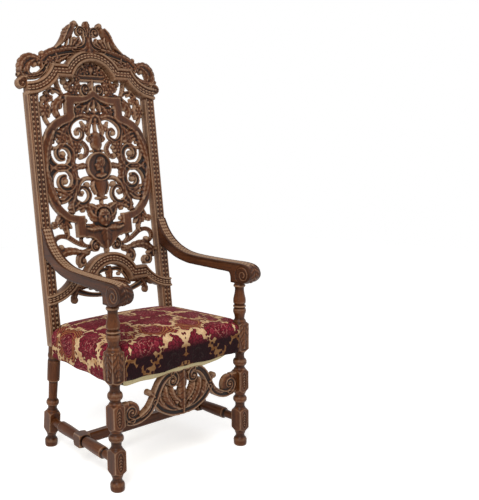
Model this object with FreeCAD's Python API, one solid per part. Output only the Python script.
import FreeCAD, Part
import math
import os

# A carved high-backed armchair, in millimetres. It faces -Y and stands on +Z; +X is the
# right hand of someone who looks at its front. The origin lies on the floor, midway
# between the front of the arm scrolls and the back of the cresting.

V = FreeCAD.Vector
os.makedirs("parts", exist_ok=True)

# Plan of the frame
front_spacing = 569.0        # between the axes of the front posts
back_spacing = 538.0         # between the centres of the back posts
seat_depth = 398.0           # front post axis to back post centre, at the bend of the back post
leg_square = 45.0            # side of the square blocks left on the turned legs
corner_square = 49.0         # side of the front posts' seat corner blocks
stile_width = 45.0
stile_depth = 39.0
bend_height = 420.0          # where the back post changes from leg to stile
back_rake_degrees = 6.5      # stiles, and all that is framed between them
leg_lean_degrees = 7.8       # the rear legs run backwards to the floor

# Fits shared by all joints
joint_gap = 0.15             # round a tenon or peg in its hole
soft_gap = 0.3               # round an upholstered piece
overrun = 2.0                # how far a cutter runs past the face that it cuts
tenon_thick = 12.0
tenon_long = 18.0
tenon_shoulder = 9.0         # rail height left above and below a tenon
peg_sides = 8                # the pegs that hold the back together are whittled
peg_thick = 8.0
peg_reach = 14.0             # into each of the two pieces

# Front posts
front_lower_block = (61.0, 139.0)
front_upper_block = (211.0, 289.0)
corner_block = (365.0, 468.0)
arm_seat_height = 618.0      # shoulder that carries the arm
arm_tenon_radius = 11.0
arm_tenon_long = 24.0
block_chamfer = 5.0

# Turnings: share of the run's height, radius as a share of half the leg square, and how
# far the stretch that ends there swells out (or is hollowed) between its ends
swell_steps = 3              # straight cuts that make up one swell
foot_shares = ((0, 0.84, 0), (0.59, 0.76, 0.27), (0.69, 0.68, 0), (1, 0.98, 0))
low_ring_shares = ((0, 0.98, 0), (0.11, 0.8, 0), (0.4, 0.8, 0), (0.72, 0.8, 0.33),
                   (0.88, 0.78, 0), (1, 0.98, 0))
high_ring_shares = ((0, 0.98, 0), (0.1, 0.8, 0), (0.24, 0.8, 0), (0.57, 0.8, 0.33),
                    (0.86, 0.8, -0.12), (1, 1.07, 0))
support_shares = ((0, 0.98, 0), (0.08, 0.82, 0), (0.37, 0.84, 0.21), (0.39, 1.0, 0),
                  (0.44, 1.0, 0), (0.46, 0.82, 0), (0.88, 0.76, 0.22), (0.91, 0.93, 0),
                  (0.95, 0.93, 0), (0.97, 0.8, 0), (1, 0.8, 0))
column_shares = ((0, 0.98, 0), (0.04, 0.8, 0), (0.10, 0.755, 0), (0.25, 0.74, 0.33),
                 (0.545, 0.775, 0), (0.575, 1.035, 0), (0.88, 1.055, 0), (0.92, 0.97, 0),
                 (1, 0.98, 0))
stretcher_turning_shares = ((0, 0.67, 0), (0.29, 0.67, 0), (0.31, 0.8, 0), (0.32, 0.95, 0),
                            (0.6, 0.96, 0), (0.93, 0.84, 0), (0.95, 0.75, 0), (1, 0.77, 0))

# Back posts: levels along the leaning leg, and the top of the raked stile
rear_block = (59.0, 139.0)
rear_turned_top = 368.0
foot_trim = 6.0              # of the leaning foot, sawn off level with the floor
stile_top = 1314.0

# Moulded rails of the back. Each is one ribbon: an arch, two level shoulders and two
# quarter sweeps that run out over the stiles. Heights are read on the floor's scale.
rail_proud = 11.0            # front of the beads, before the stiles' front faces
rail_back = 31.0             # back of the rails, behind the stiles' front faces
band_sink = 5.0              # the carved band lies this deep between the beads
inner_bead_share = 0.27      # share of the ribbon's width
outer_bead_share = 0.24
crest_arch_centre = 1348.0
crest_arch_inner = 101.0
crest_arch_outer = 145.0
crest_shoulder_low = 1383.0
crest_shoulder_high = 1432.0
crest_end_centre = 1482.0
crest_end_lower = 167.0
crest_end_upper = 122.0
lower_arch_centre = 580.0
lower_arch_inner = 93.0
lower_arch_outer = 140.0
lower_shoulder_low = 604.0
lower_shoulder_high = 655.0
lower_end_centre = 734.0
lower_end_lower = 181.0
lower_end_upper = 146.0

# Carved work, as depths behind the stiles' front faces
cresting_high = 173.0        # top of the birds, above the crest rail's shoulders
cresting_front = 1.0
cresting_thick = 24.0
ear_radius = 19.0            # rosette on each end of the crest rail
ear_inset = 4.0
ear_front = 4.0
ear_thick = 26.0
narrowest_bend_share = 0.9   # of a bend's radius that half a strap may take
strap_front = 11.0
scroll_front = 15.0
carving_back = 30.0
peg_places_share = dict(cresting=0.67, panel_top=0.479, panel_low=0.405, apron=0.235)
medallion_height = 1052.0
medallion_radius = 57.0
medallion_front = 7.0
apron_base = 560.0           # foot of the drawing, below which some buds hang
apron_front = 4.0
apron_thick = 20.0
stretcher_thick = 26.0

# Stretchers between the legs
side_stretcher_height = 100.0
side_stretcher_square = 45.0
side_stretcher_radius = 22.0
stretcher_tenon_radius = 8.0
stretcher_tenon_long = 14.0
cross_stretcher_high = 36.0
cross_stretcher_thick = 30.0

# Seat
rail_thick = 26.0
rail_low = 373.0
rail_high = 450.0
rail_set_in = 17.0           # outer rail face, outside the post axes
brace_leg = 62.0
brace_high = 38.0
web_width = 48.0
web_thick = 1.6
web_count = 4
web_spread_share = 0.7       # of the seat that the outer straps' centres span
cover_thick = 3.0
cover_low = 367.0
seat_edge_height = 470.0
seat_crown_height = 497.0
seat_side_bulge = 5.0        # the stuffed edge stands this far outside the rails' cover
seat_corner_round = 26.0
seat_swell_shares = ((0, 0.2), (0.09, 0.72), (0.5, 1), (0.91, 0.72), (1, 0.2))
corner_turn_share = 0.3      # where a quarter round crosses its diagonal
cloth_thick = 1.5
cloth_sag = 27.0
cloth_inset = 34.0
tack_margin = 9.0            # of the cloth that lies under the rails
cloth_sag_shares = ((0, 0.08), (0.04, 0.1), (0.1, 0.85), (0.5, 1), (0.93, 0.9), (1, 0.12))

# Arms
arm_width_front = 54.0
arm_width_back = 45.0
arm_top_above = 74.0         # heights above the shoulder of the post that carries the arm
arm_under_above = 42.0
arm_sweep_start = 180.0      # behind the front post axis
arm_joint_top_above = 218.0
arm_joint_under_above = 110.0
scroll_eye_forward = 38.0
scroll_eye_above = 32.0
scroll_front_radius = 41.0
scroll_low_radius = 31.0
arm_bracket_reach = 25.0
arm_top_rise = 5.0           # from the scroll back to where the sweep starts
brow_share = 0.6             # end of the scroll's round on top, of its low radius
cheek_shares = (0.72, 0.92)  # the scroll's upper and lower diagonals, of its two radii
jaw_shares = (0.7, 0.68)
top_sweep_shares = ((0.373, 0.09), (0.685, 0.315), (0.892, 0.622))
under_sweep_shares = ((0.36, 0.13), (0.70, 0.47), (0.86, 0.72))

# Pierced carving, drawn on one half and mirrored. Shares are of half the drawing's width
# and of its height, with radii and widths as shares of half the width:
#   disc: x, z, radius        bar: x from, x to, z from, z to
#   band: three points of an arc, width        leaf: two tips, width
strapwork_shares = (
    ("bar", 0, 0.252, 0.99, 1.019),
    ("disc", 0.13, 0.949, 0.081),
    ("band", 0.012, 0.924, 0.114, 0.902, 0.26, 0.896, 0.114),
    ("bar", 0.252, 0.523, 0.874, 0.916),
    ("bar", 0.377, 0.523, 0.801, 0.886),
    ("band", 0.45, 0.808, 0.771, 0.761, 0.937, 0.663, 0.122),
    ("bar", 0.876, 1, 0.422, 0.673),
    ("band", 0.937, 0.427, 0.876, 0.343, 0.657, 0.293, 0.114),
    ("band", 0.657, 0.293, 0.544, 0.28, 0.43, 0.276, 0.105),
    ("bar", 0.349, 0.511, 0.181, 0.29),
    ("bar", 0, 0.511, 0.181, 0.225),
    ("disc", 0, 0.207, 0.114),
    ("bar", 0, 0.069, 0.111, 0.199),
    ("disc", 0.195, 0.125, 0.089),
)
scrollwork_shares = (
    ("disc", 0.641, 0.614, 0.162),
    ("band", 0.937, 0.628, 0.669, 0.548, 0.455, 0.598, 0.081),
    ("disc", 0.641, 0.474, 0.162),
    ("band", 0.937, 0.46, 0.669, 0.54, 0.455, 0.49, 0.081),
    ("band", 0.92, 0.705, 0.722, 0.71, 0.54, 0.68, 0.061),
    ("band", 0.92, 0.383, 0.722, 0.372, 0.54, 0.394, 0.061),
    ("band", 0.479, 0.7, 0.422, 0.618, 0.479, 0.543, 0.089),
    ("band", 0.479, 0.546, 0.414, 0.467, 0.503, 0.386, 0.089),
    ("band", 0.503, 0.391, 0.56, 0.357, 0.552, 0.285, 0.081),
    ("band", 0.316, 0.69, 0.178, 0.639, 0.422, 0.592, 0.053),
    ("band", 0.31, 0.683, 0.385, 0.694, 0.47, 0.683, 0.057),
    ("band", 0, 0.775, 0.268, 0.798, 0.471, 0.754, 0.057),
    ("band", 0.471, 0.758, 0.503, 0.721, 0.454, 0.685, 0.065),
    ("disc", 0.316, 0.729, 0.077),
    ("band", 0.316, 0.729, 0.398, 0.716, 0.48, 0.694, 0.053),
    ("bar", 0, 0.4, 0.859, 0.874),
    ("bar", 0, 0.053, 0.68, 0.872),
    ("disc", 0, 0.683, 0.089),
    ("bar", 0, 0.085, 0.6, 0.683),
    ("bar", 0.211, 0.45, 0.534, 0.559),
    ("band", 0, 0.47, 0.211, 0.49, 0.43, 0.445, 0.053),
    ("leaf", 0, 0.482, 0, 0.36, 0.203),
    ("bar", 0, 0.028, 0.28, 0.371),
    ("band", 0.45, 0.43, 0.227, 0.405, 0.349, 0.359, 0.057),
    ("band", 0.33, 0.359, 0.422, 0.361, 0.51, 0.383, 0.057),
    ("leaf", 0.1, 0.334, 0.56, 0.334, 0.081),
    ("disc", 0, 0.284, 0.154),
    ("leaf", 0, 0.295, 0.23, 0.32, 0.11),
    ("disc", 0.235, 0.235, 0.069),
    ("disc", 0.389, 0.235, 0.069),
    ("band", 0.5, 0.902, 0.698, 0.938, 0.86, 0.894, 0.057),
    ("band", 0.85, 0.9, 0.93, 0.867, 0.901, 0.82, 0.053),
    ("disc", 0.888, 0.834, 0.085),
    ("band", 0.901, 0.834, 0.888, 0.798, 0.79, 0.755, 0.053),
    ("leaf", 0.5, 0.891, 0.714, 0.867, 0.089),
    ("disc", 0.325, 0.944, 0.077),
    ("disc", 0.422, 0.968, 0.065),
    ("disc", 0.479, 0.992, 0.061),
    ("disc", 0.275, 0.915, 0.069),
    ("band", 0.7, 0.932, 0.78, 0.955, 1, 0.952, 0.053),
    ("band", 1, 0.25, 0.85, 0.262, 0.72, 0.29, 0.053),
    ("band", 0.73, 0.3, 0.69, 0.251, 0.673, 0.17, 0.053),
    ("band", 1, 0.15, 0.876, 0.183, 0.755, 0.187, 0.049),
    ("band", 0.77, 0.187, 0.609, 0.174, 0.479, 0.144, 0.049),
    ("band", 0.49, 0.15, 0.381, 0.13, 0.2, 0.128, 0.049),
    ("leaf", 0.373, 0.095, 0.96, 0.095, 0.162),
    ("disc", 0.458, 0.056, 0.114),
    ("disc", 0.771, 0.037, 0.122),
    ("leaf", 0.74, 0.048, 1.05, 0.07, 0.097),
    ("band", 0.2, 0.125, 0.33, 0.112, 0.42, 0.084, 0.065),
    ("bar", 0.069, 0.154, 0.96, 1.02),
    ("disc", 0.114, 1.04, 0.089),
    ("disc", 0.211, 1.026, 0.065),
    ("bar", 0, 0.178, 1.01, 1.075),
)
cresting_shares = (
    ("disc", 0, 0.873, 0.051),
    ("bar", 0, 0.055, 0.32, 0.86),
    ("disc", 0.11, 0.746, 0.069),
    ("band", 0.041, 0.82, 0.055, 0.566, 0.24, 0.4, 0.075),
    ("disc", 0.196, 0.936, 0.041),
    ("leaf", 0.199, 0.994, 0.261, 0.72, 0.089),
    ("leaf", 0.21, 0.93, 0.405, 0.578, 0.151),
    ("leaf", 0.329, 0.7, 0.515, 0.34, 0.082),
    ("band", 0.192, 0.462, 0.329, 0.428, 0.508, 0.393, 0.041),
    ("band", 0.316, 0.64, 0.295, 0.52, 0.316, 0.4, 0.034),
    ("band", 0.02, 0.347, 0.309, 0.347, 0.56, 0.26, 0.075),
    ("band", 0.295, 0.37, 0.515, 0.312, 0.72, 0.185, 0.075),
    ("band", 0.549, 0.243, 0.659, 0.173, 0.762, 0.04, 0.075),
    ("disc", 0.604, 0.081, 0.051),
    ("band", 0.52, 0.26, 0.501, 0.116, 0.56, 0, 0.048),
    ("band", 0.638, 0.12, 0.672, -0.046, 0.734, -0.15, 0.075),
    ("disc", 0.762, 0.058, 0.058),
    ("disc", 0.919, -0.046, 0.082),
    ("band", 0.734, 0.04, 0.899, 0.173, 1.029, -0.09, 0.075),
    ("band", 1.02, -0.05, 1.043, -0.243, 0.9, -0.266, 0.069),
    ("band", 0.919, -0.266, 0.796, -0.277, 0.714, -0.1, 0.062),
    ("disc", 1.04, -0.25, 0.048),
)
stretcher_carving_shares = (
    ("bar", 0.733, 1, 0, 0.974),
    ("disc", 0.847, 0.551, 0.126),
    ("band", 0.962, -0.064, 0.782, 0.013, 0.6, 0.34, 0.092),
    ("band", 0.611, 0.25, 0.45, 0.782, 0.366, 1.6, 0.107),
    ("band", 0.395, 1.423, 0.298, 1.808, 0.11, 1.731, 0.099),
    ("disc", 0.183, 1.474, 0.103),
    ("leaf", 0.43, 1.0, 0.6, 1.11, 0.084),
    ("disc", 0, 1.423, 0.115),
    ("bar", 0, 0.183, 0.321, 1.808),
    ("leaf", 0, -0.09, 0, 1.141, 0.344),
    ("band", 0.45, 0.55, 0.267, 0.038, 0, -0.038, 0.092),
    ("bar", 0, 0.267, 0.141, 0.577),
    ("leaf", 0.237, 1.141, 0.252, 0.321, 0.115),
    ("disc", 0.34, 0.449, 0.069),
)
apron_shares = (
    ("disc", 0, 0.842, 0.105),
    ("band", 0, 1, 0.252, 0.842, 0.373, 0.379, 0.073),
    ("band", 0, 0.55, 0.243, 0.484, 0.37, 0.3, 0.065),
    ("band", 0, 0, 0.365, 0, 0.625, 0.37, 0.081),
    ("disc", 0.69, 0, 0.061),
    ("leaf", 0.6, 0.52, 0.698, -0.042, 0.105),
    ("band", 0.36, 0.45, 0.519, 0.421, 0.625, 0.29, 0.089),
    ("bar", 0, 0.041, 0, 0.947),
    ("band", 0.178, -0.05, 0.227, 0.316, 0.38, 0.44, 0.057),
    ("band", 0.6, 0.34, 0.714, 0.316, 0.81, 0.15, 0.081),
)

# Sizes worked out from the ones above
half_front = front_spacing / 2
arm_top_height = arm_seat_height + arm_top_above
arm_under_height = arm_seat_height + arm_under_above
arm_joint_top = arm_seat_height + arm_joint_top_above
arm_joint_under = arm_seat_height + arm_joint_under_above
scroll_eye_height = arm_seat_height + scroll_eye_above
cresting_top = crest_shoulder_high + cresting_high
half_back = back_spacing / 2
half_inside = half_back - stile_width / 2
half_outside = half_back + stile_width / 2
half_square = leg_square / 2
half_corner = corner_square / 2
rake = math.radians(back_rake_degrees)
lean = math.radians(leg_lean_degrees)
stile_front_at_bend = seat_depth - stile_depth / 2
front_rail_y = (-rail_set_in, rail_thick - rail_set_in)
back_rail_y = (seat_depth - rail_thick / 2, seat_depth + rail_thick / 2)


def stile_front(height):
    """Depth of the stiles' front faces at a height above the floor."""
    return stile_front_at_bend + (height - bend_height) * math.tan(rake)


def leg_centre(height):
    """Depth of the leaning rear leg's axis at a height above the floor."""
    return seat_depth + (bend_height - height) * math.tan(lean)


def up(height):
    """Length up the rake at which a height above the floor is reached."""
    return bend_height + (height - bend_height) / math.cos(rake)


def down(height):
    """Length down the lean at which a height above the floor is reached."""
    return bend_height - (bend_height - height) / math.cos(lean)


def upright(height):
    """Height of a piece that stands neither raked nor leaning."""
    return height


reach_back = stile_front(cresting_top) + cresting_front + cresting_thick
reach_front = scroll_eye_forward + scroll_front_radius
origin_depth = (reach_back - reach_front) / 2


def write(name, shape):
    """Move a piece from the front post axes to the origin and save it."""
    piece = shape.copy()
    piece.translate(V(0, -origin_depth, 0))
    piece.exportStep("parts/" + name + ".step")
    print(name, len(piece.Solids), "solids", round(piece.Volume), piece.isValid())


def write_pair(name, shape):
    """Save a left-hand piece and its mirror image."""
    write(name + "_left", shape)
    write(name + "_right", mirrored(shape))


def box(x, y, z):
    """A block between the two values given on each axis."""
    return Part.makeBox(x[1] - x[0], y[1] - y[0], z[1] - z[0], V(x[0], y[0], z[0]))


def about(value, half_size):
    return (value - half_size, value + half_size)


def rod(start, end, radius):
    """A round tenon or hole from one point to another."""
    return Part.makeCylinder(radius, (end - start).Length, start, end - start)


def fused(shapes):
    return shapes[0].multiFuse(list(shapes[1:])).removeSplitter()


def mirrored(shape):
    return shape.mirror(V(0, 0, 0), V(1, 0, 0))


def both(shape):
    return [shape, mirrored(shape)]


def line(a, b):
    return Part.LineSegment(a, b).toShape()


def arc(a, b, c):
    """The arc from a through b to c, or a line where the three are in one."""
    if (b - a).cross(c - b).Length < joint_gap:
        return line(a, c)
    return Part.Arc(a, b, c).toShape()


def outline(points):
    corners = list(points)
    return Part.Face(Part.makePolygon(corners + [corners[0]]))


def on_lean(shape):
    """Tilt a shape turned upright round Z so that it follows the rear leg."""
    shape.translate(V(0, seat_depth, 0))
    shape.rotate(V(0, seat_depth, bend_height), V(1, 0, 0), leg_lean_degrees)
    return shape


def on_rake(shape):
    """Tilt a shape drawn upright behind y = 0 so that it follows the stiles' faces."""
    shape.translate(V(0, stile_front_at_bend, 0))
    shape.rotate(V(0, stile_front_at_bend, bend_height), V(1, 0, 0), -back_rake_degrees)
    return shape


# Turned work

def turning(shares, low, high, half):
    """A turned stretch between two heights, from a profile of shares."""
    points = [V(0, 0, low), V(shares[0][1] * half, 0, low)]
    for z, radius, swell in shares[1:]:
        start = points[-1]
        end = V(radius * half, 0, low + (high - low) * z)
        steps = swell_steps if swell else 1
        for step in range(1, steps + 1):
            t = step / steps
            rise = 4 * t * (1 - t) * swell * half
            points.append(start + (end - start) * t + V(rise, 0, 0))
    points.append(V(0, 0, high))
    return outline(points).revolve(V(0, 0, 0), V(0, 0, 1), 360).Solids[0]


def square_block(side, low, high):
    """A square left on a turned piece, its ends taken back at the corners."""
    block = box(about(0, side / 2), about(0, side / 2), (low, high))
    level = [edge for edge in block.Edges
             if abs(edge.Vertexes[0].Z - edge.Vertexes[1].Z) < joint_gap]
    return block.makeChamfer(block_chamfer, level)


def front_post():
    """Left front post: foot, two blocks, seat corner and arm support from one length."""
    lower_low, lower_high = front_lower_block
    upper_low, upper_high = front_upper_block
    corner_low, corner_high = corner_block
    post = fused([
        turning(foot_shares, 0, lower_low + block_chamfer, half_square),
        square_block(leg_square, lower_low, lower_high),
        turning(low_ring_shares, lower_high - block_chamfer, upper_low + block_chamfer,
                half_square),
        square_block(leg_square, upper_low, upper_high),
        turning(high_ring_shares, upper_high - block_chamfer, corner_low + block_chamfer,
                half_square),
        square_block(corner_square, corner_low, corner_high),
        turning(support_shares, corner_high - block_chamfer, arm_seat_height, half_square),
        rod(V(0, 0, arm_seat_height), V(0, 0, arm_seat_height + arm_tenon_long),
            arm_tenon_radius),
    ])
    post.translate(V(-half_front, 0, 0))
    return post


def stile_tenon(gap):
    """Tenon on the left stile's top, or its hole in the crest rail when a gap is given."""
    top = up(stile_top)
    return on_rake(box(about(-half_back, stile_width / 4 + gap),
                       about(stile_depth / 2, tenon_thick / 2 + gap),
                       (top - overrun, top + tenon_long + gap)))


def back_post():
    """Left back post: a leaning turned leg and a raked stile, one timber with a bend."""
    block_low, block_high = rear_block
    leg = on_lean(fused([
        turning(foot_shares, down(0) - foot_trim, down(block_low) + block_chamfer, half_square),
        square_block(leg_square, down(block_low), down(block_high)),
        turning(column_shares, down(block_high) - block_chamfer,
                down(rear_turned_top) + block_chamfer, half_square),
    ]))
    floor = box(about(0, leg_square), about(leg_centre(0), leg_square), (-leg_square, 0))
    knee_front = leg_centre(rear_turned_top) - half_square
    knee_back = V(0, stile_front_at_bend + stile_depth * math.cos(rake),
                  bend_height - stile_depth * math.sin(rake))
    knee = outline([V(0, knee_front, rear_turned_top),
                    V(0, stile_front_at_bend, bend_height),
                    knee_back,
                    V(0, knee_front + leg_square, rear_turned_top)])
    knee.translate(V(-stile_width / 2, 0, 0))
    stile = on_rake(box(about(0, stile_width / 2), (0, stile_depth), (bend_height, up(stile_top))))
    post = fused([leg.cut(floor), knee.extrude(V(stile_width, 0, 0)), stile])
    post.translate(V(-half_back, 0, 0))
    return fused([post, stile_tenon(0)])


# Stretchers

def side_stretcher_axis():
    """Ends of the left side stretcher's axis, in the middle of the blocks that it joins."""
    height = side_stretcher_height
    return V(-half_front, 0, height), V(-half_back, leg_centre(height), height)


def side_stretcher():
    """Turned stretcher with a square block in the middle, running on into the legs."""
    start, end = side_stretcher_axis()
    length = (end - start).Length
    block_start = (length - side_stretcher_square) / 2
    near = turning(stretcher_turning_shares, half_square - overrun, block_start + block_chamfer,
                   side_stretcher_radius)
    far = near.mirror(V(0, 0, length / 2), V(0, 0, 1))
    block = square_block(side_stretcher_square, block_start, length - block_start)
    turned = fused([near, block, far])
    turned.Placement = FreeCAD.Placement(start, FreeCAD.Rotation(V(0, 0, 1), end - start))
    return turned


def side_stretcher_tenons(gap):
    """Round tenons on both ends, or their holes when a gap is given."""
    start, end = side_stretcher_axis()
    along = (end - start).normalize()
    inner = half_square - stretcher_tenon_long - gap
    outer = half_square + stretcher_tenon_long
    radius = stretcher_tenon_radius + gap
    return [rod(start + along * inner, start + along * outer, radius),
            rod(end - along * outer, end - along * inner, radius)]


def cross_stretcher_centre():
    start, end = side_stretcher_axis()
    return (start + end) * 0.5


def cross_stretcher_bar():
    centre = cross_stretcher_centre()
    reach = -centre.x - side_stretcher_square / 2 + overrun
    bar = box(about(0, reach), about(centre.y, cross_stretcher_thick / 2),
              about(centre.z, cross_stretcher_high / 2))
    long_edges = [edge for edge in bar.Edges if edge.Length > reach]
    return bar.makeChamfer(block_chamfer, long_edges)


def cross_stretcher_tenons(gap):
    centre = cross_stretcher_centre()
    reach = -centre.x - side_stretcher_square / 2 + tenon_long + gap
    return box(about(0, reach), about(centre.y, tenon_thick / 2 + gap),
               about(centre.z, cross_stretcher_high / 2 - tenon_shoulder + gap))


# Seat frame

def rail_tenon(x, y, gap):
    """A tenon of a seat rail, or its mortise, between the rail's shoulders."""
    return box((x[0] - gap, x[1] + gap), (y[0] - gap, y[1] + gap),
               (rail_low + tenon_shoulder - gap, rail_high - tenon_shoulder + gap))


def front_rail_tenons(gap):
    middle = (front_rail_y[0] + front_rail_y[1]) / 2
    return rail_tenon(about(0, half_front - half_corner + tenon_long),
                      about(middle, tenon_thick / 2), gap)


def back_rail_tenons(gap):
    return rail_tenon(about(0, half_inside + tenon_long), about(seat_depth, tenon_thick / 2), gap)


def side_rail_tenons(gap):
    """Front and back tenons of the left side rail."""
    middle_front = -half_front - rail_set_in + rail_thick / 2
    middle_back = -half_back - rail_set_in + rail_thick / 2
    return [
        rail_tenon(about(middle_front, tenon_thick / 2),
                   (half_corner - tenon_long, half_corner + tenon_long), gap),
        rail_tenon(about(middle_back, tenon_thick / 2),
                   about(stile_front_at_bend, tenon_long), gap),
    ]


def side_rail_blank():
    """Left side rail from the corner block to beyond the front of the back post."""
    front_x = -half_front - rail_set_in
    back_x = -half_back - rail_set_in
    back_y = stile_front_at_bend + stile_depth / 2
    plan = outline([V(front_x, half_corner, rail_low), V(back_x, back_y, rail_low),
                    V(back_x + rail_thick, back_y, rail_low),
                    V(front_x + rail_thick, half_corner, rail_low)])
    return plan.extrude(V(0, 0, rail_high - rail_low))


def corner_brace(corner, leg_y):
    """A three-cornered block glued into a left corner of the seat frame."""
    middle = (rail_low + rail_high) / 2
    brace = outline([corner, corner + V(brace_leg, 0, 0), corner + V(0, leg_y, 0)])
    brace.translate(V(0, 0, middle - brace_high / 2))
    return brace.extrude(V(0, 0, brace_high))


# Carved outlines

def disc(centre, radius):
    return Part.Face(Part.Wire(Part.makeCircle(radius, centre, V(0, 1, 0))))


def band(a, b, c, width):
    """A strip of even width along the arc through three points."""
    circle = Part.Arc(a, b, c).toShape().Curve
    centre, radius = circle.Center, circle.Radius
    half = min(width / 2, radius * narrowest_bend_share)
    outside = [centre + (p - centre).normalize() * (radius + half) for p in (a, b, c)]
    inside = [centre + (p - centre).normalize() * (radius - half) for p in (a, b, c)]
    return Part.Face(Part.Wire([arc(*outside), line(outside[2], inside[2]),
                                arc(*inside[::-1]), line(inside[0], outside[0])]))


def leaf(a, b, width):
    """A pointed leaf between two tips."""
    across = (b - a).cross(V(0, 1, 0)).normalize() * (width / 2)
    belly = (a + b) * 0.5
    return Part.Face(Part.Wire([arc(a, belly + across, b), arc(b, belly - across, a)]))


def thick(face, front, back):
    """Give a flat face its thickness between two depths."""
    solid = face.extrude(V(0, back - front, 0))
    solid.translate(V(0, front, 0))
    return solid


def carved(rows, half, low, high, climb, front, back):
    """One half of a drawing as solids; climb turns a height into a length up the piece."""
    def spot(x, z):
        return V(x * half, 0, climb(low + (high - low) * z))

    faces = []
    for kind, *share in rows:
        if kind == "disc":
            faces.append(disc(spot(*share[:2]), share[2] * half))
        elif kind == "bar":
            left, right, bottom, top = share
            faces.append(outline([spot(left, bottom), spot(right, bottom),
                                  spot(right, top), spot(left, top)]))
        elif kind == "band":
            faces.append(band(spot(*share[:2]), spot(*share[2:4]), spot(*share[4:6]),
                              share[6] * half))
        else:
            faces.append(leaf(spot(*share[:2]), spot(*share[2:4]), share[4] * half))
    return [thick(face, front, back) for face in faces]


# Moulded rails of the back, each drawn as one ribbon

crest = dict(arch=crest_arch_centre, inner=crest_arch_inner, outer=crest_arch_outer,
             low=crest_shoulder_low, high=crest_shoulder_high,
             end=crest_end_centre, end_lower=crest_end_lower, end_upper=crest_end_upper)
lower = dict(arch=lower_arch_centre, inner=lower_arch_inner, outer=lower_arch_outer,
             low=lower_shoulder_low, high=lower_shoulder_high,
             end=lower_end_centre, end_lower=lower_end_lower, end_upper=lower_end_upper)


def ribbon_sizes(rail, share):
    """Arch radius, shoulder level and end sweep radius of one line along the ribbon."""
    arch_radius = rail["inner"] + (rail["outer"] - rail["inner"]) * share
    level = up(rail["low"] + (rail["high"] - rail["low"]) * share)
    end_radius = rail["end_lower"] - (rail["end_lower"] - rail["end_upper"]) * share
    return arch_radius, level, end_radius


def ribbon_line(rail, share):
    """Edges of one line along the ribbon, and its right-hand end."""
    arch_radius, level, end_radius = ribbon_sizes(rail, share)
    arch_centre = V(0, 0, up(rail["arch"]))
    end_centre = V(half_outside, 0, up(rail["end"]))
    turn = math.acos((end_centre.z - level) / end_radius)
    tip = end_centre - V(0, 0, end_radius)
    belly = end_centre - V(math.sin(turn / 2), 0, math.cos(turn / 2)) * end_radius
    corner = end_centre - V(math.sin(turn), 0, math.cos(turn)) * end_radius
    springing = V(math.sqrt(arch_radius ** 2 - (level - arch_centre.z) ** 2), 0, level)
    crown = arc(springing, arch_centre + V(0, 0, arch_radius), V(-springing.x, 0, level))
    return both(arc(tip, belly, corner)) + both(line(corner, springing)) + [crown], tip


def ribbon_height(rail, share, x):
    """Length up the rake of one line along the ribbon at a place on the right."""
    arch_radius, level, end_radius = ribbon_sizes(rail, share)
    from_end = half_outside - x
    if x < arch_radius:
        level = max(level, up(rail["arch"]) + math.sqrt(arch_radius ** 2 - x ** 2))
    if from_end < end_radius:
        level = min(level, up(rail["end"]) - math.sqrt(end_radius ** 2 - from_end ** 2))
    return level


def face_within(edges):
    return Part.Face(Part.Wire(Part.__sortEdges__(edges)))


def ribbon(rail, share_from, share_to):
    """The flat shape between two lines along the ribbon."""
    first, first_tip = ribbon_line(rail, share_from)
    second, second_tip = ribbon_line(rail, share_to)
    return face_within(first + second + both(line(first_tip, second_tip)))


def beyond(rail, share, height):
    """The flat shape between one line along the ribbon and a level above or below it."""
    edges, tip = ribbon_line(rail, share)
    far = V(tip.x, 0, up(height))
    return face_within(edges + both(line(tip, far)) + [line(far, V(-far.x, 0, far.z))])


def moulded(rail):
    """The ribbon with a bead along each edge and the carved band sunk between them."""
    return fused([thick(ribbon(rail, 0, 1), band_sink - rail_proud, rail_back),
                  thick(ribbon(rail, 0, inner_bead_share), -rail_proud, 0),
                  thick(ribbon(rail, 1 - outer_bead_share, 1), -rail_proud, 0)])


# Pegs that hold the pieces of the back together

def peg(start, end, radius):
    """A whittled peg from one point to another."""
    corners = []
    for number in range(peg_sides):
        turn = 2 * math.pi * number / peg_sides
        corners.append(V(math.cos(turn), math.sin(turn), 0) * radius)
    blank = outline(corners).extrude(V(0, 0, (end - start).Length))
    blank.Placement = FreeCAD.Placement(start, FreeCAD.Rotation(V(0, 0, 1), end - start))
    return blank


def back_pegs(maker, gap):
    """All the pegs, or the holes for them when a gap is given."""
    reach = peg_reach + gap
    radius = peg_thick / 2 + gap
    panel_depth = (scroll_front + carving_back) / 2
    cresting_depth = cresting_front + cresting_thick / 2
    apron_depth = apron_front + apron_thick / 2
    outer_x = half_outside * peg_places_share["cresting"]
    top_x = half_inside * peg_places_share["panel_top"]
    low_x = half_inside * peg_places_share["panel_low"]
    apron_x = half_inside * peg_places_share["apron"]
    centre = V(0, cresting_depth, ribbon_height(crest, 1, 0))
    pegs = [maker(centre - V(0, 0, reach), centre + V(0, 0, reach), radius)]
    for x, y, z in ((outer_x, cresting_depth, ribbon_height(crest, 1, outer_x)),
                    (top_x, panel_depth, up(crest_shoulder_low)),
                    (low_x, panel_depth, ribbon_height(lower, 1, low_x)),
                    (apron_x, apron_depth, ribbon_height(lower, 0, apron_x))):
        pegs += both(maker(V(x, y, z - reach), V(x, y, z + reach), radius))
    for z in about(up(medallion_height), medallion_radius):
        pegs += both(maker(V(half_inside - reach, panel_depth, z),
                           V(half_inside + reach, panel_depth, z), radius))
    return [on_rake(piece) for piece in pegs]


# Pieces of the back

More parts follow.
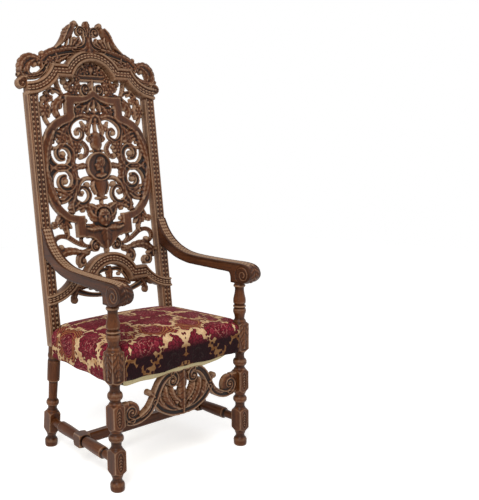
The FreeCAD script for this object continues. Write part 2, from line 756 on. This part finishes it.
def crest_rail():
    """Moulded rail over the stiles, its ends resting on them, with a rosette at each end."""
    foot = box((half_inside, half_outside), (0, stile_depth),
               (up(stile_top), up(stile_top) + ear_radius))
    ear_middle = V(half_outside + ear_radius - ear_inset, 0, up(stile_top) + ear_radius * 2)
    ear = thick(disc(ear_middle, ear_radius), ear_front, ear_front + ear_thick)
    rail = on_rake(fused([moulded(crest)] + both(foot) + both(ear)))
    return rail.cut(both(stile_tenon(joint_gap)))


def cresting():
    back = cresting_front + cresting_thick
    right = fused(carved(cresting_shares, half_outside, crest_shoulder_high, cresting_top, up,
                         cresting_front, back))
    below = thick(beyond(crest, 1, stile_top - stile_width), 0, back)
    return on_rake(fused(both(right.cut(below))))


def back_panel():
    """Pierced panel: strapwork in front, scrollwork behind it, medallion in the middle."""
    right = []
    for rows, front in ((strapwork_shares, strap_front), (scrollwork_shares, scroll_front)):
        right += carved(rows, half_inside, lower_shoulder_high, crest_shoulder_low, up,
                        front, carving_back)
    centre = V(0, 0, up(medallion_height))
    right.append(thick(disc(centre, medallion_radius), medallion_front, carving_back))
    between = box((-half_inside, half_inside), (0, carving_back),
                  (up(lower_shoulder_low), up(cresting_top)))
    rails = [thick(face, 0, carving_back) for face in (
        ribbon(crest, 0, 1), ribbon(lower, 0, 1), beyond(crest, 1, cresting_top + stile_width))]
    return on_rake(fused(both(fused(right).common(between).cut(rails))))


def lower_rail_tenons(gap):
    """Tenons of the lower rail in the stiles, in line with the rake."""
    low = up(lower_end_centre - lower_end_lower) + tenon_shoulder
    high = up(lower_end_centre - lower_end_upper) - tenon_shoulder / 2
    tenon = box((half_inside - overrun, half_inside + tenon_long + gap),
                about(stile_depth / 2, tenon_thick / 2 + gap), (low - gap, high + gap))
    return [on_rake(piece) for piece in both(tenon)]


def lower_back_rail():
    """Moulded rail tenoned between the stiles; its front runs out over their faces."""
    tall = (up(0), up(cresting_top))
    over = box(about(0, half_outside + overrun), (-rail_proud - overrun, 0), tall)
    between = box(about(0, half_inside), (0, stile_depth), tall)
    blank = moulded(lower)
    return fused([on_rake(blank.common(over)), on_rake(blank.common(between))]
                 + lower_rail_tenons(0))


def apron_carving():
    back = apron_front + apron_thick
    right = fused(carved(apron_shares, half_inside, apron_base, lower_shoulder_high, up,
                         apron_front, back))
    above = thick(beyond(lower, 0, cresting_top), 0, back)
    return on_rake(fused(both(right.cut(above))))


# Carved front stretcher

def front_stretcher_tenons(gap):
    low, high = front_upper_block
    reach = half_front - half_square
    tenon = box((reach - overrun, reach + tenon_long + gap), about(0, tenon_thick / 2 + gap),
                (low + tenon_shoulder - gap, high - tenon_shoulder + gap))
    return both(tenon)


def front_stretcher():
    low, high = front_upper_block
    reach = half_front - half_square
    depth = about(0, stretcher_thick / 2)
    right = fused(carved(stretcher_carving_shares, reach, low, high, upright, *depth))
    between = box(about(0, reach), depth, (0, rail_low))
    return fused(both(right.common(between)) + front_stretcher_tenons(0))


# Arms

def arm_tenon(gap):
    """Tenon of the left arm in the stile, square to the stile's face."""
    middle = (up(arm_joint_top) + up(arm_joint_under)) / 2
    half_tall = (arm_joint_top - arm_joint_under) / 2 - tenon_shoulder
    return on_rake(box(about(-half_back, tenon_thick / 2 + gap),
                       (-tenon_shoulder, tenon_long + gap), about(middle, half_tall + gap)))


def swept(start, end, shares):
    """Points between two ends, as shares of the run and of the rise."""
    step = end - start
    return [start + V(0, step.y * run, step.z * rise) for run, rise in shares]


def arm_side():
    """Outline of the arm seen from its side: scroll, level top and the sweep up to the stile."""
    eye = V(0, -scroll_eye_forward, scroll_eye_height)
    across = V(0, scroll_front_radius, 0)
    tall = V(0, 0, scroll_low_radius)
    chin = eye - tall
    jaw = eye - across * jaw_shares[0] - tall * jaw_shares[1]
    nose = eye - across
    cheek = eye - across * cheek_shares[0] + tall * cheek_shares[1]
    brow = V(0, eye.y + scroll_low_radius * brow_share, arm_top_height)
    shoulder = V(0, arm_sweep_start, arm_top_height + arm_top_rise)
    armpit = V(0, arm_sweep_start, arm_under_height + arm_top_rise)
    bracket = V(0, arm_bracket_reach, arm_under_height)
    seat_back = V(0, half_square, arm_seat_height)
    cove = (bracket + seat_back) * 0.5 + V(0, -arm_top_rise, arm_top_rise)
    seat_front = V(0, -half_square, arm_seat_height)
    top_end = V(0, stile_front(arm_joint_top), arm_joint_top)
    under_end = V(0, stile_front(arm_joint_under), arm_joint_under)
    top = swept(shoulder, top_end, top_sweep_shares)
    under = swept(armpit, under_end, under_sweep_shares)
    return Part.Face(Part.Wire([
        arc(chin, jaw, nose), arc(nose, cheek, brow), line(brow, shoulder),
        arc(shoulder, top[0], top[1]), arc(top[1], top[2], top_end), line(top_end, under_end),
        arc(under_end, under[2], under[1]), arc(under[1], under[0], armpit),
        line(armpit, bracket), arc(bracket, cove, seat_back), line(seat_back, seat_front),
        line(seat_front, chin),
    ]))


def arm():
    """Left arm, cut from its side outline and its outline seen from above."""
    front_y = -reach_front - overrun
    back_y = stile_front(arm_joint_top) + overrun
    half_wide, half_narrow = arm_width_front / 2, arm_width_back / 2
    plan = outline([V(-half_front - half_wide, front_y, 0), V(-half_front - half_wide, 0, 0),
                    V(-half_back - half_narrow, back_y, 0), V(-half_back + half_narrow, back_y, 0),
                    V(-half_front + half_wide, 0, 0), V(-half_front + half_wide, front_y, 0)])
    body = arm_side().extrude(V(-front_spacing, 0, 0))
    body = body.common(plan.extrude(V(0, 0, arm_joint_top + overrun)))
    socket = rod(V(-half_front, 0, arm_seat_height - overrun),
                 V(-half_front, 0, arm_seat_height + arm_tenon_long + joint_gap),
                 arm_tenon_radius + joint_gap)
    return fused([body, arm_tenon(0)]).cut(socket)


# Upholstery

def seat_half_width(y):
    """Half the width between the side rails' outer faces at a depth."""
    return half_front + rail_set_in - (half_front - half_back) * y / seat_depth


def seat_section(y, half_width, edge, crown, low):
    """A section across the seat: drawn-in sides, rounded edges and a crowned top."""
    inner = half_width - seat_corner_round
    turn = seat_corner_round * corner_turn_share
    side = [V(half_width - seat_side_bulge, y, low), V(half_width, y, (low + edge) / 2),
            V(half_width, y, edge - seat_corner_round)]
    round_edge = [side[2], V(half_width - turn, y, edge - turn), V(inner, y, edge)]
    top = arc(V(inner, y, edge), V(0, y, crown), V(-inner, y, edge))
    base = line(side[0], V(-side[0].x, y, low))
    return Part.Wire(Part.__sortEdges__(both(arc(*side)) + both(arc(*round_edge)) + [top, base]))


def seat_form(inset, low):
    """The stuffed seat's outer form, drawn in by an inset."""
    proud = seat_side_bulge + cover_thick - inset
    front = front_rail_y[0] - proud
    back = back_rail_y[1] + proud
    sections = []
    for along, swell in seat_swell_shares:
        y = front + (back - front) * along
        edge = seat_edge_height - inset - seat_corner_round * (1 - swell) / 2
        crown = edge + (seat_crown_height - seat_edge_height) * swell
        sections.append(seat_section(y, seat_half_width(y) + proud, edge, crown, low))
    return Part.makeLoft(sections, True, True)


def post_clearances():
    """Room for the four posts in the upholstery, out to the sides of the seat."""
    tall = (cover_low - cloth_sag * 2, arm_seat_height)
    front = box((-front_spacing, -half_front + half_corner + soft_gap),
                (-front_spacing, half_corner + soft_gap), tall)
    back = box((-front_spacing, -half_inside + soft_gap),
               (stile_front_at_bend - soft_gap, front_spacing), tall)
    return both(front) + both(back)


def seat_cover():
    outer = seat_form(0, cover_low)
    inner = seat_form(cover_thick, cover_low - overrun)
    return outer.cut([inner] + post_clearances())


def seat_stuffing():
    form = seat_form(cover_thick + soft_gap, rail_low)
    bottom = rail_high + web_thick * 2 + soft_gap
    above = box(about(0, front_spacing), about(0, front_spacing), (bottom, arm_seat_height))
    return form.common(above).cut(post_clearances())


def webbing():
    """Two layers of straps across the frame, front to back over side to side."""
    straps = []
    for number in range(web_count):
        share = (number / (web_count - 1) - 0.5) * web_spread_share
        x = half_inside * 2 * share
        y = seat_depth * (0.5 + share)
        straps.append(box(about(x, web_width / 2),
                          (front_rail_y[0] + overrun, back_rail_y[1] - overrun),
                          (rail_high + web_thick, rail_high + web_thick * 2)))
        straps.append(box(about(0, seat_half_width(y) - rail_thick / 2),
                          about(y, web_width / 2), (rail_high, rail_high + web_thick)))
    return Part.makeCompound(straps)


def cloth_section(y, half_width, sag):
    """A section across the slack cloth under the seat."""
    low = rail_low - sag
    inner = half_width - cloth_inset
    edge = V(half_width, y, rail_low)
    turn = V(inner + cloth_inset * corner_turn_share, y, low + sag * corner_turn_share)
    corner = V(inner, y, low)
    return Part.Wire(Part.__sortEdges__(
        both(arc(edge, turn, corner)) + [line(corner, V(-inner, y, low)),
                                         line(edge, V(-half_width, y, rail_low))]))


def cloth_form(inset):
    front = front_rail_y[1] - tack_margin + inset
    back = back_rail_y[0] + tack_margin - inset
    sections = []
    for along, sag in cloth_sag_shares:
        y = front + (back - front) * along
        half_width = seat_half_width(y) - rail_thick + tack_margin - inset
        sections.append(cloth_section(y, half_width, cloth_sag * sag - inset))
    return Part.makeLoft(sections, True, True)


def bottoming_cloth():
    return cloth_form(0).cut([cloth_form(cloth_thick)] + post_clearances())


# The chair, piece by piece, each joint cut in both of its pieces

post = front_post()
rear = back_post()
stretcher = side_stretcher().cut([post, rear])
side_blank = side_rail_blank().cut(rear)
front_blank = box(about(0, half_front - half_corner), front_rail_y, (rail_low, rail_high))
back_blank = box(about(0, half_inside), back_rail_y, (rail_low, rail_high))
peg_holes = back_pegs(rod, joint_gap)

write_pair("front_post", post.cut(
    front_stretcher_tenons(joint_gap) + side_stretcher_tenons(joint_gap)
    + [front_rail_tenons(joint_gap)] + side_rail_tenons(joint_gap)))
write_pair("back_post", rear.cut(
    side_stretcher_tenons(joint_gap) + side_rail_tenons(joint_gap) + lower_rail_tenons(joint_gap)
    + [back_rail_tenons(joint_gap), arm_tenon(joint_gap)] + peg_holes))
write_pair("arm", arm())

write_pair("side_stretcher", fused([stretcher] + side_stretcher_tenons(0)).cut(
    cross_stretcher_tenons(joint_gap)))
write("cross_stretcher", fused([cross_stretcher_bar().cut(both(stretcher)),
                                cross_stretcher_tenons(0)]))
write("front_stretcher", front_stretcher())

write("seat_rail_front", fused([front_blank, front_rail_tenons(0)]))
write("seat_rail_back", fused([back_blank, back_rail_tenons(0)]))
write_pair("seat_rail", fused([side_blank] + side_rail_tenons(0)))
front_corner = V(-seat_half_width(half_corner) + rail_thick, front_rail_y[1], 0)
back_corner = V(-seat_half_width(back_rail_y[0]) + rail_thick, back_rail_y[0], 0)
write_pair("corner_brace_front", corner_brace(front_corner, brace_leg).cut([post, side_blank]))
write_pair("corner_brace_back", corner_brace(back_corner, -brace_leg).cut([rear, side_blank]))

write("webbing", webbing())
write("seat_stuffing", seat_stuffing())
write("seat_cover", seat_cover())
write("bottoming_cloth", bottoming_cloth())

write("crest_rail", crest_rail().cut(peg_holes))
write("cresting", cresting().cut(peg_holes))
write("back_panel", back_panel().cut(peg_holes))
write("lower_back_rail", lower_back_rail().cut(peg_holes))
write("lower_rail_carving", apron_carving().cut(peg_holes))
write("back_pegs", Part.makeCompound(back_pegs(peg, 0)))
